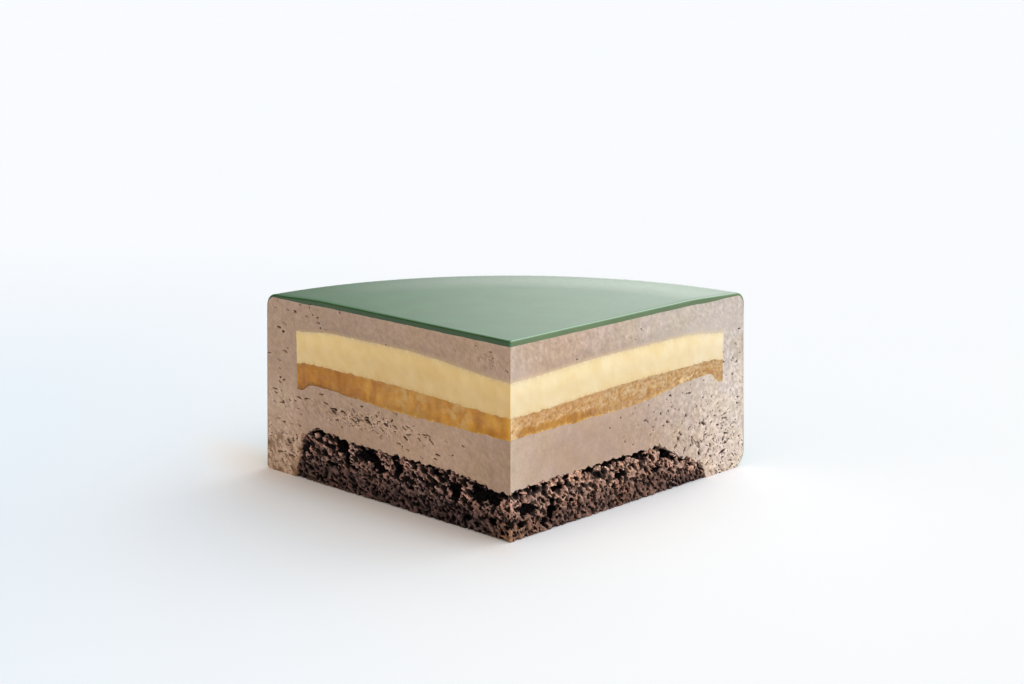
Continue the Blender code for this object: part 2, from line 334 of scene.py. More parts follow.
sponge = {
    "radius": (67.3 * mm, 70.9 * mm),  # at the floor
    "rimWaves": (0.45 * mm, 1.6 * mm),
    "draft": 2.7 * mm,
    "height": 11.3 * mm,
    "swell": (0.3 * mm, 1.0 * mm),
    "swellEnd": 16 * mm,
    "dip": (0.0, 0.6 * mm),  # near the tip
    "dipEnd": (10 * mm, 20 * mm),
    "hump": (-5.0 * mm, 1.0 * mm),
    "humpStart": (49 * mm, 50 * mm),
    "humpLength": 10 * mm,
    "edgeDrop": 2.2 * mm,
    "edgeSpan": (0.92, 1),
    "crags": (0.60 * mm, 2.4 * mm),
    "teeth": (0.60 * mm, 0.95 * mm),
    "voxel": 0.165 * mm,
    "crumbHeight": 15.5 * mm,  # of the block that the crumb is cut from
    "crumbDepth": 3.4 * mm,
    "crumbJoin": 31 * mm,  # where the inner crumb piece meets the outer one
    "stretch": 1.6,  # the crumb's pores are longer the way they run down to the right
    "inwards": 0.45,  # and longer still into the sponge
    "slope": (46, 22),
    "cells": (0.80 * mm, 1.45 * mm),  # of pores low in the sponge and high in it
    "poreEdges": (0.47, 0.50),  # where a pore ends, in cells from its middle
    "poreWaves": (0.28 * mm, 0.8 * mm),
    "poreDepth": 0.5 * mm,
    "poreClosing": 0.55,
    "crumbRelief": (0.30 * mm, 0.55 * mm),  # how far dark crumbs lie back, low and high in the sponge
    "grit": (0.10 * mm, 0.5 * mm),
    "smallHoleSpacing": 3.4,  # of small holes along the sponge's top, in mm
    "holeDepth": 3.2,  # at most, in mm
    "heart": {"columns": 24, "rows": 6, "overlap": 0.3 * mm, "gap": 0.4 * mm, "reach": 0.93},
    # large holes in the right and in the left cut face: radius, height, width and height of the hole, in mm
    "holes": (
        (
            (1.8, 10.4, 4.6, 2.6), (4.0, 3.2, 3.4, 1.6), (15.1, 8.8, 5.0, 1.5), (5.6, 6.0, 5.4, 2.6),
            (13.5, 4.2, 3.0, 4.8), (8.0, 10.2, 1.8, 1.0), (10.8, 2.0, 1.8, 2.4),
            (21.5, 12.2, 3.0, 1.1), (26.6, 10.8, 3.6, 1.5), (32.0, 11.3, 3.4, 1.7),
            (34.5, 7.3, 1.5, 1.6), (33.7, 5.2, 1.5, 1.5), (42.1, 11.2, 6.4, 2.2),
            (36.6, 10.9, 3.4, 1.3), (52.0, 9.0, 5.0, 2.4), (36.2, 7.2, 3.2, 1.4),
            (48.8, 5.9, 3.2, 1.5), (46.0, 4.6, 1.2, 1.1), (59.0, 6.6, 2.4, 1.2), (20.0, 5.0, 1.8, 1.2),
        ),
        (
            (54.2, 11.0, 4.2, 4.4), (52.9, 8.0, 2.2, 3.0), (45.0, 10.2, 6.2, 3.6),
            (41.6, 8.3, 4.6, 2.8), (35.7, 8.8, 3.0, 3.2), (17.4, 7.7, 3.6, 4.2), (9.8, 9.0, 5.8, 4.2),
            (5.4, 8.2, 4.4, 3.4), (4.5, 9.8, 8.0, 2.6), (3.4, 10.6, 5.5, 1.6), (5.9, 3.3, 2.4, 2.0),
            (13.9, 2.5, 3.0, 1.3), (28.5, 12.0, 5.4, 1.3), (63.0, 12.4, 7.0, 1.2),
            (62.2, 1.4, 2.0, 1.5), (50.5, 6.2, 3.6, 1.1), (49.4, 2.4, 1.6, 1.3),
            (22.5, 10.6, 3.0, 1.2), (66.5, 7.6, 1.4, 2.6), (31.0, 5.6, 2.0, 1.2),
            (57.6, 5.6, 2.4, 1.0),
        ),
    ),
}


def spongeReach(share, turn):
    x, y = atTurn(sponge["radius"][0], turn)
    depth, length = sponge["rimWaves"]
    ragged = waves((x, y, 0 * x + share * sponge["height"]), length, seed=31, octaves=2)
    return byTurn(sponge["radius"], turn) - sponge["draft"] * share + depth * ragged


def topRadius(turn):
    return byTurn(sponge["radius"], turn) - sponge["draft"]


def spongeTop(share, turn):
    radius = topRadius(turn) * share
    start = byTurn(sponge["humpStart"], turn)
    return (
        sponge["height"]
        + byTurn(sponge["swell"], turn) * rise(radius, 0, sponge["swellEnd"])
        - byTurn(sponge["dip"], turn) * fall(radius, *sponge["dipEnd"])
        + byTurn(sponge["hump"], turn) * rise(radius, start, start + sponge["humpLength"])
        - sponge["edgeDrop"] * rise(share, *sponge["edgeSpan"])
        + ripples(*sponge["crags"], radius, turn, seed=32, octaves=2)
        + ripples(*sponge["teeth"], radius, turn, seed=33)
    )


# Glaze

glaze = {
    "top": 1.30 * mm,
    "depthWaves": (0.07 * mm, 3 * mm),
    "depthWavesFade": 3 * mm,
    "thinning": 0.6 * mm,
    "thinFrom": 0.84 * shoulderReach,
    "topWaves": (0.02 * mm, 14 * mm),
    "topWavesFade": 8 * mm,
    "wall": 0.42 * mm,
    "end": 0.25 * mm,
    "endHeight": 0.55 * mm,
    "endTaper": 0.15,  # angle over which the skin runs out, under its end
    "edgeRounding": 0.42 * mm,
    "roundingShare": 0.85,
    "edgeSteps": 5,
    "edgeSpacing": 1.3,  # steps lie closer together at the cut faces
    "columnSpacing": 1.15,  # and columns at the tip
    "turnSteps": 70,
    "rows": 3,
    "columns": (70, 16, 14, 14),  # on the top, the shoulder, the wall and the foot
    # how far in from the cut faces the glaze's own side, its painted highlight line and the wall's side go
    "side": (0.02 * mm, 0.12 * mm),
    "crest": (0.26 * mm, 0.36 * mm),
    "wallSide": (0.3 * mm, 0.6 * mm),
}


def glazeDepth(radius, turn):
    uneven = ripples(*glaze["depthWaves"], radius, turn, seed=11, octaves=3)
    thinner = glaze["thinning"] * rise(radius, glaze["thinFrom"], shoulderReach)
    return glaze["top"] - thinner + uneven * rise(shoulderReach - radius, 0, glaze["depthWavesFade"])


def footEndAngle(turn):
    rounding = byTurn(cake["footRadius"], turn)
    return np.arcsin((rounding - glaze["endHeight"]) / rounding)


def glazeOnFoot(angle, turn):
    end = footEndAngle(turn)
    onSkin = between(glaze["wall"], glaze["end"], np.clip(angle / end, 0, 1))
    return onSkin * (1 - rise(angle, end, end + glaze["endTaper"]))


def makeGlaze():
    top, shoulder, wall, foot = glaze["columns"]
    rows = glaze["rows"]

    def reachOf(column):
        return shoulderReach * np.minimum(1, column / top) ** glaze["columnSpacing"]

    def bend(column, step):
        # the first few steps at each cut face are close together, to round the glaze's edge
        radius = np.maximum(reachOf(column), 0.01 * mm)
        steps, edge = glaze["turnSteps"], glaze["edgeSteps"]
        near = np.minimum(step, steps - step)
        share = np.minimum(near, edge) / edge
        away = glaze["edgeRounding"] * share ** glaze["edgeSpacing"]
        offset = np.minimum(away / radius, 0.4 * cake["sector"] * share) / cake["sector"]
        middle = np.clip((near - edge) / (steps / 2 - edge), 0, 1)
        turn = offset + (0.5 - offset) * middle
        return np.where(step <= steps / 2, turn, 1 - turn)

    def place(column, row, turn):
        radius = reachOf(column)
        away = radius * np.sin(np.minimum(turn, 1 - turn) * cake["sector"])
        gone = np.clip(1 - away / glaze["edgeRounding"], 0, 1)
        rounded = glaze["roundingShare"] * glaze["edgeRounding"] * (1 - np.sqrt(1 - gone**2))

        def within(thickness):
            return between(thickness, np.minimum(rounded, 0.5 * thickness), row / rows)

        aim = np.radians(90)
        over = np.clip((column - top) / shoulder, 0, 1)
        down = np.clip((column - top - shoulder) / wall, 0, 1)
        under = np.clip((column - top - shoulder - wall) / foot, 0, 1)
        ripple = ripples(*glaze["topWaves"], radius, turn, seed=12, octaves=2)
        ripple = ripple * rise(shoulderReach - radius, 0, glaze["topWavesFade"])
        topZ = topHeight(radius) + ripple - within(glazeDepth(radius, turn))
        rimDepth = between(glazeDepth(shoulderReach + 0 * turn, turn), glaze["wall"], over)
        shoulderR, shoulderHigh = onShoulder(aim * (1 - over), within(rimDepth))
        wallZ = between(shoulderZ, byTurn(cake["footRadius"], turn), down)
        footSkin = between(glaze["wall"], glaze["end"], under)
        footR, footZ = onFoot(footEndAngle(turn) * under, within(footSkin), turn)
        wallR = wallRadius(wallZ) - within(glaze["wall"] + 0 * turn)
        stages = [column <= top, column <= top + shoulder, column <= top + shoulder + wall]
        r = np.select(stages, [radius, shoulderR, wallR], footR)
        return r, np.select(stages, [topZ, shoulderHigh, wallZ], footZ)

    def relief(radius, z, turn, rim, up):
        away = radius * np.sin(np.minimum(turn, 1 - turn) * cake["sector"])
        side = fall(away, *glaze["side"])
        wallSide = fall(z, shoulderZ - 2 * mm, shoulderZ) * fall(away, *glaze["wallSide"])
        right, left = turn < 0.5, turn > 0.5
        return 0 * radius, {
            # painted shade on the left cut side and painted light on the right one, over the glaze's own
            # deeper green there
            "leftSide": side * left,
            "rightSide": side * right,
            # a painted highlight line along the right cut face's rounded top edge
            "crest": up * fall(away, *glaze["crest"]) * (1 - side) * right,
            # the wall's skin at the cut faces: painted shade on the left, a painted reflection high up on the
            # right
            "leftWall": wallSide * left,
            "rightWall": wallSide * right * rise(z, 10 * mm, 16 * mm),
        }

    columns, steps = sum(glaze["columns"]), glaze["turnSteps"]
    return sweptPiece("glazeCoat", columns, rows, place, steps, relief=relief, bend=bend)


# Mousse

mousse = {
    "outerColumns": 40,
    "rows": (54, 48, 60, 34),  # beside the sponge, over it, beside the insert, and over it
    "footRows": 16,
    "shoulderRows": 16,
    "cutWaves": (0.10 * mm, 7 * mm),
    "smearDepth": 0.14 * mm,
    "ridgeDepth": 0.24 * mm,
    "airyDepth": 0.07 * mm,
    "pitReach": 2.4,  # at most, in mm
    "pitDepth": (0.3, 1.0, 1.1),  # least, more by its width, and at most, in mm
    "pitLip": 0.06 * mm,
    # slits that stand out in the right and in the left cut face: radius, height, length, width, tilt,
    # in mm and degrees
    "slits": (
        (
            (56.5, 11.6, 1.0, 0.8, 20), (55.4, 9.9, 1.3, 0.7, -35), (61.5, 10.1, 1.6, 0.4, 50),
            (68.6, 7.6, 1.6, 0.5, 60), (67.7, 6.4, 1.4, 0.6, -35), (58.8, 8.5, 1.7, 0.6, -45),
            (73.3, 5.2, 2.6, 0.6, -15), (64.4, 6.6, 1.6, 0.8, 40), (68.7, 5.0, 1.2, 0.4, 20),
            (73.4, 3.7, 1.1, 0.5, 10), (60.1, 13.3, 1.5, 0.4, -50), (57.2, 12.7, 1.6, 0.4, 50),
            (74.4, 7.2, 0.9, 0.6, 0), (76.5, 23.7, 0.9, 0.5, -20), (72.7, 27.3, 1.2, 0.4, 25),
            (72.7, 29.6, 0.6, 0.5, 0), (53.2, 22.6, 1.3, 0.4, 20), (60.2, 22.0, 1.3, 0.4, 20),
        ),
        (
            (64.6, 42.0, 0.7, 0.5, 60), (63.6, 40.4, 0.6, 0.4, 80), (60.9, 37.7, 0.6, 0.5, 0),
            (54.1, 42.3, 0.8, 0.4, 60), (76.0, 23.4, 0.8, 0.5, 10), (72.8, 31.1, 0.6, 0.4, 20),
            (57.6, 18.8, 1.0, 0.4, 35), (53.1, 18.9, 2.2, 0.5, 25), (49.9, 20.0, 1.4, 0.4, 40),
            (48.3, 17.9, 1.3, 0.5, 50), (45.2, 18.5, 2.0, 0.5, 12), (42.1, 20.2, 0.8, 0.5, 40),
            (39.1, 18.7, 1.7, 0.6, 12), (37.1, 20.0, 1.1, 0.5, -45), (32.9, 19.0, 1.5, 0.4, 25),
            (32.6, 16.9, 1.6, 0.5, 25), (28.1, 17.4, 1.2, 0.4, 40), (24.8, 18.0, 1.0, 0.4, 35),
            (73.6, 8.0, 1.6, 0.5, 65), (71.7, 8.8, 1.5, 0.5, 70), (70.4, 9.9, 1.3, 0.5, 55),
            (73.4, 4.8, 0.9, 0.5, 80), (72.7, 1.8, 1.3, 0.6, 50), (33.6, 14.6, 0.9, 0.3, 60),
        ),
    ),
    "lean": ((28, 30), (8, 12)),  # of strewn pits, mean and spread in degrees
    "pitLength": ((1.5, 4.0), (3.5, 8.0)),  # in widths
    # pits strewn by chance: face, centre and spread outwards and upwards, how many, narrowest and widest
    "strewn": (
        (0, (66, 12), (9, 5.5), 70, (0.26, 0.5)), (0, (70, 7), (5, 3.5), 44, (0.3, 0.6)),
        (0, (75, 24), (2.5, 7), 18, (0.25, 0.4)), (0, (48, 17), (13, 2.5), 24, (0.25, 0.4)),
        (0, (30, 39), (18, 2.0), 8, (0.2, 0.3)), (1, (48, 18), (11, 2.2), 52, (0.22, 0.34)),
        (1, (74, 8), (3, 6), 26, (0.24, 0.36)), (1, (28, 17), (9, 1.6), 20, (0.20, 0.28)),
        (1, (7, 38.5), (4, 1.8), 8, (0.16, 0.22)), (1, (66, 40), (5, 2), 12, (0.2, 0.3)),
        (0, (58, 18), (8, 4), 60, (0.22, 0.34)),
        (1, (76, 26), (2, 8), 14, (0.22, 0.35)), (1, (45, 39), (18, 2.0), 12, (0.2, 0.3)),
    ),
}


def moussePits():
    draw = np.random.default_rng(41)
    pits = [(face, *slit, 1.0) for face in (1, 0) for slit in mousse["slits"][face]]
    for face, centre, spread, count, sizes in mousse["strewn"]:
        for _ in range(count):
            r, z = draw.normal(centre, spread)
            wide = draw.uniform(*sizes)
            lean = draw.normal(*mousse["lean"][face])
            long = wide * draw.uniform(*mousse["pitLength"][face])
            pits.append((face, r, z, long, wide, lean, draw.uniform(0.35, 1)))
    return pits


# In the next three functions r is a place's distance from the tip and h its height, both in mm.


def airiness(face, radius, z):
    # how full of small pits the mousse is, from 0 to 1
    r, h = radius / mm, z / mm
    outer = rise(r, 44, 70) * fall(h, 12, 30) + 0.3 * rise(r, 30, 46) * fall(h, 22, 34)
    right = np.maximum.reduce([outer, 0.7 * rise(r, 66, 76) * fall(h, 30, 40), 0.35 * rise(h, 36, 39)])
    band = bulge(h, 18.0, 3.2) * rise(r, 14, 34)
    tip = bulge(r, 7, 5) * bulge(h, 38.6, 1.8)
    left = np.maximum.reduce([0.6 * band, 0.5 * rise(r, 67, 71) * fall(h, 12, 26), tip, 0.25 + 0 * r])
    return np.where(face < 0.5, right, left)


def slitShare(face, radius, z):
    # where thin slits run down to the right, from 0 to 1
    r, h = radius / mm, z / mm
    band = bulge(h + 0.05 * (r - 45), 18.2, 2.6, 4) * rise(r, 20, 38) * fall(r, 58, 66)
    below = rise(r, 66, 70) * fall(h, 11, 16)
    right = rise(r, 52, 66) * fall(h, 10, 18)
    return np.where(face < 0.5, right, np.maximum(band, below))


def mousseTones(face, radius, z):
    # where the mousse is painted paler and cooler as lit, is browner, and is painted lighter and darker
    # (shade over and under 1) than elsewhere
    r, h = radius / mm, z / mm
    right, low = face < 0.5, fall(h, 18, 26)
    aboveCream = fall(h, 37.5, 39.5) * rise(h, 34, 35) * fall(r, 50, 62)
    onLeft = 1 + low * (0.15 * rise(r, 66, 72) + 0.12 * bulge(r, 28, 14) - 0.12 * fall(r, 5, 13))
    onLeft = onLeft - 0.07 * rise(h, 35, 37) * bulge(r, 56, 14) - 0.10 * aboveCream * rise(r, 16, 24)
    onRight = 1 + 0.18 * fall(h, 20, 30) * rise(r, 58, 70) - 0.10 * aboveCream * rise(r, 8, 16)
    return {
        "pale": (0.15 + 0.85 * rise(r + 0.9 * (h - 20), 26, 84)) * right,
        "brown": bulge(r, 30, 22, 4) * low * right,
        "cool": np.where(right, np.exp(-r / 5), 0.35 * rise(r, 70, 75) * low),
        "shade": np.where(right, onRight, onLeft),
    }


def pressPits(spot, radius, turn, depth, dark, lip):
    # presses the pits into depth, and marks their insides for painted shade and their lips for painted
    # highlights
    least, byWidth, most = mousse["pitDepth"]
    outFrom, upFrom = radius / mm, spot[2] / mm
    for face, r, high, long, wide, tilt, strength in moussePits():
        near = (np.abs(outFrom - r) < mousse["pitReach"]) & (np.abs(upFrom - high) < mousse["pitReach"])
        near = np.flatnonzero(near & (turn == face))
        lean = math.radians(tilt if face else -tilt)
        outwards, upwards = outFrom[near] - r, upFrom[near] - high
        a = (outwards * math.cos(lean) + upwards * math.sin(lean)) / (long / 2)
        b = (upwards * math.cos(lean) - outwards * math.sin(lean)) / (wide / 2)
        wobble = 0.16 * waves([axis[near] for axis in spot], 0.5 * mm, seed=45)
        away = np.sqrt(a * a + b * b) + wobble
        ring = np.exp(-((away - 1.5) ** 2) / 0.08) * strength
        depth[near] += fall(away, 0.60, 1.25) * strength * min(most, byWidth * wide + least) * mm
        depth[near] -= mousse["pitLip"] * ring
        dark[near] = np.maximum(dark[near], fall(away, 0.80, 1.25) * strength)
        lip[near] = np.maximum(lip[near], ring)


def mousseRelief(radius, z, turn, rim, up):
    x, y = atTurn(radius, turn)
    right, left = turn < 0.5, turn > 0.5
    unevenness, length = mousse["cutWaves"]
    depth = unevenness * (1 + waves((x, y, z), length, seed=42, octaves=2))
    smear = waves((x, y, z / 2.5), 1.3 * mm, seed=43, octaves=3)
    smeared = rise(z, 35.5 * mm, 38 * mm) * fall(radius, 34 * mm, 52 * mm) * right
    depth = depth + mousse["smearDepth"] * smeared * smear
    flake = ((x - z) / 2.4, y, x + z)
    coarse = fall(z, 7 * mm, 14 * mm) * rise(radius, 66 * mm, 71 * mm) * left
    ridges = waves(flake, 1.5 * mm, seed=44, octaves=2)
    depth = depth + mousse["ridgeDepth"] * coarse * ridges
    airy = airiness(turn, radius, z)
    depth = depth + mousse["airyDepth"] * airy * waves(flake, 1.3 * mm, seed=46, octaves=2)
    # painted shade in the coarse ridges' troughs and painted highlights on their crests
    dark = 0.3 * coarse * rise(ridges, 0.35, 0.8)
    lip = 0.5 * coarse * fall(ridges, -0.8, -0.2)
    pressPits((x, y, z), radius, turn, depth, dark, lip)
    reach = insertReach(z, turn)
    offCream = np.abs(z - creamTop(np.minimum(1, radius / reach), turn))
    marks = {
        # painted shade inside the pits and painted highlights on their lips
        "pit": dark,
        "lip": lip,
        "smear": smeared * smear,
        "airy": airy,
        "slit": slitShare(turn, radius, z),
        "cream": np.clip(1 - offCream / (0.8 * mm), 0, 1) * (radius < reach),
        # painted shade in the ridges' troughs
        "ridge": coarse * rise(ridges, -0.2, 0.5),
        "flaky": np.minimum(1, 1.3 * airy) * waves(flake, 0.9 * mm, seed=47, octaves=2),
        "right": right,
        **mousseTones(turn, radius, z),
    }
    return np.maximum(depth, 0) * np.minimum(1, rim / 2), marks


def makeMousse():
    sideRows, underRows, insertRows, overRows = mousse["rows"]
    spongeRow, lowRow = sideRows, sideRows + underRows
    highRow = lowRow + insertRows
    rows = highRow + overRows
    layerColumns = insert["columns"]
    footRow, shoulderRow = mousse["footRows"], rows - mousse["shoulderRows"]

    def holds(column, row):
        inLayers = column < layerColumns
        return np.logical_not(inLayers & ((row < spongeRow) | ((row > lowRow) & (row < highRow))))

    def underGlaze(row, turn):
        footAngle = np.radians(90) * (1 - row / footRow)
        footR, footZ = onFoot(footAngle, glazeOnFoot(footAngle, turn), turn)
        onWall = (row - footRow) / (shoulderRow - footRow)
        wallZ = between(byTurn(cake["footRadius"], turn), shoulderZ, onWall)
        up = np.clip((row - shoulderRow) / (rows - shoulderRow), 0, 1)
        depth = between(glaze["wall"], glazeDepth(shoulderReach + 0 * turn, turn), up)
        shoulderR, shoulderHigh = onShoulder(np.radians(90) * up, depth)
        stages = [row <= footRow, row < shoulderRow]
        r = np.select(stages, [footR, wallRadius(wallZ) - glaze["wall"]], shoulderR)
        return r, np.select(stages, [footZ, wallZ], shoulderHigh)

    def place(column, row, turn):
        share = np.minimum(1, column / layerColumns)
        crumb, low, high = spongeTop(share, turn), compoteBottom(share, turn), creamTop(share, turn)
        aboveSponge = np.clip((row - spongeRow) / underRows, 0, 1)
        throughInsert = np.clip((row - lowRow) / insertRows, 0, 1)
        overInsert = np.clip((row - highRow) / overRows, 0, 1)
        onSponge = spongeReach(np.minimum(1, row / spongeRow), turn) * share
        insertZ = between(low, high, throughInsert)
        onInsert = insertReach(insertZ, turn) * share
        radius = between(onSponge, onInsert, rise(aboveSponge, 0, 1))
        top = topHeight(radius) - glazeDepth(radius, turn)
        z = np.select(
            [row <= spongeRow, row <= lowRow, row <= highRow],
            [crumb * row / spongeRow, between(crumb, low, aboveSponge), insertZ],
            between(high, top, overInsert),
        )
        rimRadius, rimZ = underGlaze(row, turn)
        out = np.clip((column - layerColumns) / mousse["outerColumns"], 0, 1)
        return between(radius, rimRadius, out), between(z, rimZ, out)

    columns = layerColumns + mousse["outerColumns"]
    return sweptPiece("mousseBody", columns, rows, place, holds=holds, relief=mousseRelief)


# Cream and compote


def insertPiece(name, rows, bottom, top, relief):
    def place(column, row, turn):
        share = column / insert["columns"]
        z = between(bottom(share, turn), top(share, turn), row / rows)
        return insertReach(z, turn) * share, z

    return sweptPiece(name, insert["columns"], rows, place, relief=relief)


cream = {
    "rows": 26,
    "cutWaves": (0.07 * mm, 6 * mm),
    "knifeDepth": 0.015 * mm,
    "height": 7 * mm,
    "edge": 0.38 * mm,  # how far in the cream is stained at its top and its foot
}


def creamRelief(radius, z, turn, rim, up):
    x, y = atTurn(radius, turn)
    right, left = turn < 0.5, turn > 0.5
    knife = waves((x, y, z / 8), 0.9 * mm, seed=54, octaves=2)
    unevenness, length = cream["cutWaves"]
    depth = unevenness * (1 + waves((x, y, z), length, seed=52, octaves=2)) + cream["knifeDepth"] * knife
    edge = np.exp(-np.minimum(up, 1 - up) * cream["height"] / cream["edge"])
    return np.maximum(depth, 0) * np.minimum(1, rim / 2), {
        "streak": waves(((x - z) / 2, y, x + z), 3.0 * mm, seed=51, octaves=3),
        "edge": edge * (up > 0.5),
        "foot": edge * (up < 0.5),
        "level": up,
        # painted light: the right face cooler, and lighter on the left's outer part and at the right face's
        # ends
        "right": right,
        "outer": rise(radius, 40 * mm, 56 * mm) * left,
        "ends": (rise(radius, 54 * mm, 64 * mm) + np.exp(-radius / (5 * mm))) * right,
        "warm": 0.5 * np.exp(-radius / (3 * mm)) * (1 - up) * left,
    }


def makeCream():
    return insertPiece("creamDisc", cream["rows"], compoteTop, creamTop, creamRelief)


compote = {
    "rows": 26,
    "pulp": 1.0 * mm,
    "pulpDepth": 0.21 * mm,
    "rollingDepth": 0.18 * mm,
    "glintHeight": 0.10 * mm,
    # a wet lump on the right cut face: radius, height, width, height of the lump, in mm
    "lump": (59.0, 25.2, 12.5, 3.0),
    "lumpSlope": 0.13,
    "lumpHeight": 0.25 * mm,
    "cloudy": ((31, 6), (16, 4)),  # cloudy places on the left cut face: radius and half width, in mm
}


def compoteRelief(radius, z, turn, rim, up):
    x, y = atTurn(radius, turn)
    spot = (x, y, z)
    right, left = turn < 0.5, turn > 0.5
    pulp = grains((x, y, z * 1.3), compote["pulp"], seed=62) + 0.3 * waves(spot, 0.5 * mm, seed=63, octaves=2)
    sunk = rise(pulp, 0.35, 0.85)
    rolling = 0.5 + 0.5 * waves(spot, 3.0 * mm, seed=64, octaves=2)
    # the fruit is duller high up, and towards the rim lower down too, but for some bits
    upper = rise(up + ripples(0.10, 4 * mm, radius, turn, seed=65, octaves=2), 0.34, 0.46)
    bits = rise(waves(spot, 2.2 * mm, seed=59, octaves=2), 0.05, 0.45)
    upper = np.maximum(upper, (0.92 - 0.55 * bits) * rise(radius, 22 * mm, 32 * mm))
    # painted highlights on wet wrinkles: in a band half way up, and at the tip
    wrinkle = 1 - np.abs(waves(((x + z) / 1.6, y, z - x), 1.3 * mm, seed=66, octaves=2))
    glint = 0.9 * rise(wrinkle, 0.78, 0.97) * bulge(up, 0.44, 0.14) * right
    glint = glint * rise(waves(spot, 2.5 * mm, seed=68) - radius / (70 * mm), -0.75, 0.3)
    atTip = 0.8 * bulge(radius, 0, 2.6 * mm) * rise(wrinkle, 0.45, 0.85) * right
    pulpy = np.where(right, 0.35 + 0.65 * upper, 0.30)
    depth = compote["pulpDepth"] * sunk * pulpy + compote["rollingDepth"] * rolling
    depth = depth - compote["glintHeight"] * glint
    r, high, wide, tall = compote["lump"]
    a = (radius / mm - r) / (wide / 2)
    b = (z / mm - high - compote["lumpSlope"] * (radius / mm - r)) / (tall / 2)
    lump = fall(np.sqrt(a * a + b * b) + 0.35 * waves(spot, 1.8 * mm, seed=67), 0.4, 1.2) * right
    onLump = lump * rise(wrinkle, 0.74, 0.94) * rise(b, -0.9, 0.5)
    depth = depth - compote["lumpHeight"] * lump * wrinkle
    cloudy = [bulge(radius / mm, middle, wide) for middle, wide in compote["cloudy"]]
    return depth * np.minimum(1, rim / 3), {
        "sunk": sunk * pulpy,
        "rolling": rolling,
        "streak": waves((x, y, z / 2.5), 2.6 * mm, seed=61, octaves=3),
        "upper": np.where(right, upper, 0.10 * upper),
        "glint": np.maximum.reduce([glint, atTip, onLump]),
        "lump": lump,
        # painted glow of light through the thin tip, on the left
        "glow": np.exp(-radius / (1.3 * mm)) * left,
        "border": np.exp(-up / 0.10) * rise(radius, 40 * mm, 62 * mm) * left,
        "thin": np.exp(-up / 0.05) * rise(waves(spot, 1.8 * mm, seed=69), -0.5, 0.3),
        "outer": rise(radius, 40 * mm, 54 * mm) * left,
        "left": left,
        "low": fall(up, 0.10, 0.45) * (1 - 0.6 * rise(radius, 36 * mm, 46 * mm)) * (1 - cloudy[1]),
        "far": rise(radius, 15 * mm, 40 * mm),
        "cloudy": np.maximum(*cloudy) * left,
    }


def makeCompote():
    return insertPiece("compoteDisc", compote["rows"], compoteBottom, compoteTop, compoteRelief)


# Sponge: open crumb near the cut faces, made of small voxels, round a plain heart


def mainBody(points, quads):
    # drops crumbs that hang in the air: keeps only the largest connected part
    label = np.arange(len(points))
    ends = np.concatenate([quads[:, [0, 1]], quads[:, [1, 2]], quads[:, [2, 3]], quads[:, [3, 0]]])
    while True:
        low = np.minimum(label[ends[:, 0]], label[ends[:, 1]])
        new = label.copy()
        np.minimum.at(new, ends[:, 0], low)
        np.minimum.at(new, ends[:, 1], low)
        new = new[new]
        if (new == label).all():
            break
        label = new
    names, counts = np.unique(label, return_counts=True)
    kept = label == names[counts.argmax()]
    return quads[kept[quads[:, 0]]]


def blurred(solid, reach):
    # mean over a cube of cells round each cell, twice
    for _ in range(2):
        for axis in range(3):
            ends = [(reach + 1, reach) if side == axis else (0, 0) for side in range(3)]
            total = np.cumsum(np.pad(solid, ends, mode="edge"), axis=axis, dtype=np.float64)
            size = solid.shape[axis]
            high = total.take(np.arange(size) + 2 * reach + 1, axis=axis)
            low = total.take(np.arange(size), axis=axis)
            solid = ((high - low) / (2 * reach + 1)).astype(np.float32)
    return solid


def crumbSpot(face, u, d, z):
    # places on a cut face, drawn out along the line that runs down to the right and into the sponge
    right = -u if face else u
    slope = math.radians(sponge["slope"][face])
    along = right * math.cos(slope) - z * math.sin(slope)
    across = right * math.sin(slope) + z * math.cos(slope)
    return along / sponge["stretch"], sponge["inwards"] * d, across


def crumbWalls(spot, coarse):
    # how deep each place lies in the walls between the pores, less than 0 in a pore
    depth, length = sponge["poreWaves"]
    bent = [axis + depth * waves(spot, length, seed=71 + i, octaves=3) for i, axis in enumerate(spot)]
    wider = 0.12 * waves(spot, 1.5 * mm, seed=70)
    share = rise(coarse + 0.2 * waves(spot, 2.5 * mm, seed=69), 0.35, 0.65)
    small, large = [
        (grains(bent, cell, seed=seed) - edge - wider) * cell
        for cell, edge, seed in zip(sponge["cells"], sponge["poreEdges"], (78, 79))
    ]
    return between(small, np.minimum(small + 0.05 * mm, large), share)


def crumbTone(spot):
    # which crumbs are dark and sunken, at 0, and which are light and stand out, at 1
    return rise(waves(spot, 1.0 * mm, seed=81, octaves=2) + 0.6 * waves(spot, 2.6 * mm, seed=82), -0.8, 0.8)


def spongeHoles(face, u, d, z, spot):
    # how far each place lies in a large hole, less than 0 outside
    holes = list(sponge["holes"][face])
    draw = np.random.default_rng(80 + face)
    for r in np.arange(4, 64, sponge["smallHoleSpacing"]):
        r += draw.uniform(-1, 1)
        high = spongeTop(np.array(r * mm / topRadius(face)), np.array(float(face))) / mm
        holes.append((r, high - draw.uniform(0.2, 1.0), draw.uniform(1.2, 2.8), draw.uniform(0.7, 1.3)))
    ragged = 0.45 * waves(spot, 1.1 * mm, seed=75, octaves=2)
    inHole = np.full(u.shape, -1.0)
    for r, high, wide, tall in holes:
        first, last = [int((r + side * wide) * mm / sponge["voxel"]) for side in (-1, 1)]
        part = slice(max(0, first), last + 4)
        wide, tall = 1.15 * wide, 1.15 * tall
        deep = min(sponge["holeDepth"], 0.8 + 0.8 * wide) * mm
        away = ((u[part] - r * mm) / (wide / 2 * mm)) ** 2 + ((z[part] - high * mm) / (tall / 2 * mm)) ** 2
        away = np.sqrt(away + (np.maximum(d[part], 0) / deep) ** 2) + ragged[part]
        inHole[part] = np.maximum(inHole[part], (1 - away) * min(wide, tall) / 2)
    return inHole * mm


